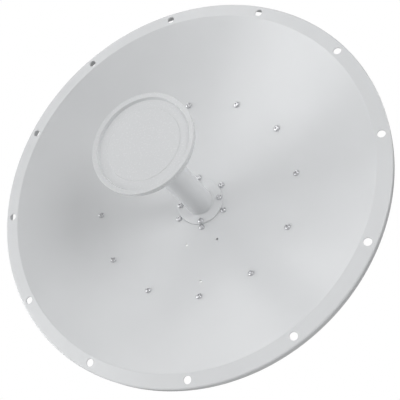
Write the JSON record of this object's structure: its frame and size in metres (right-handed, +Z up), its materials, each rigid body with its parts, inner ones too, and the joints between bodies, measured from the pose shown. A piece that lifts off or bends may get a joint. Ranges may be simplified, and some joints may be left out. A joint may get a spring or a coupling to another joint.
{
  "type": "parabolic dish antenna",
  "caption": "Parabolic dish antenna with a flat drilled rim, a feed tube carrying a round feed disc, button head screws, and a plain rear ring with a flat mounting plate.",
  "frame": {"origin": "middle of the flat rear face of the mounting plate", "axes": "the dish looks along -Y, +Z is up, +X is to the right seen from the front; +Y is out of the rear mounting face"},
  "size_m": [0.6542, 0.2943, 0.6542],
  "materials": {
    "reflector": "pale grey powder coat, satin",
    "feed_base": "pale grey powder coat, satin",
    "feed_tube": "pale grey powder coat, satin",
    "feed_disc": "pale grey moulded cover, satin",
    "back_ring": "pale grey powder coat, satin",
    "hub": "plain, satin",
    "housing": "grey powder coat, satin",
    "connector": "nickel plated, satin",
    "plate": "zinc plated, dull",
    "screw": "stainless, satin"
  },
  "bodies": {
    "root": {"reflector": "reflector", "feed_base_flange": "feed_base", "feed_tube": "feed_tube", "feed_disc": "feed_disc", "feed_collar": "feed_disc", "back_ring": "back_ring", "hub_collar": "hub", "feed_rear_housing": "housing", "radio_connector_1": "connector", "radio_connector_2": "connector", "mounting_plate": "plate", "ring_screw_01": "screw", "ring_screw_02": "screw", "ring_screw_03": "screw", "ring_screw_04": "screw", "ring_screw_05": "screw", "ring_screw_06": "screw", "ring_screw_07": "screw", "ring_screw_08": "screw", "ring_screw_09": "screw", "ring_screw_10": "screw", "ring_screw_11": "screw", "ring_screw_12": "screw", "hub_screw_01": "screw", "hub_screw_02": "screw", "hub_screw_03": "screw", "hub_screw_04": "screw", "hub_screw_05": "screw", "hub_screw_06": "screw", "base_screw_01": "screw", "base_screw_02": "screw", "base_screw_03": "screw", "base_screw_04": "screw", "plate_bolt_01": "screw", "plate_bolt_02": "screw", "plate_bolt_03": "screw", "plate_bolt_04": "screw"}
  },
  "joints": []
}
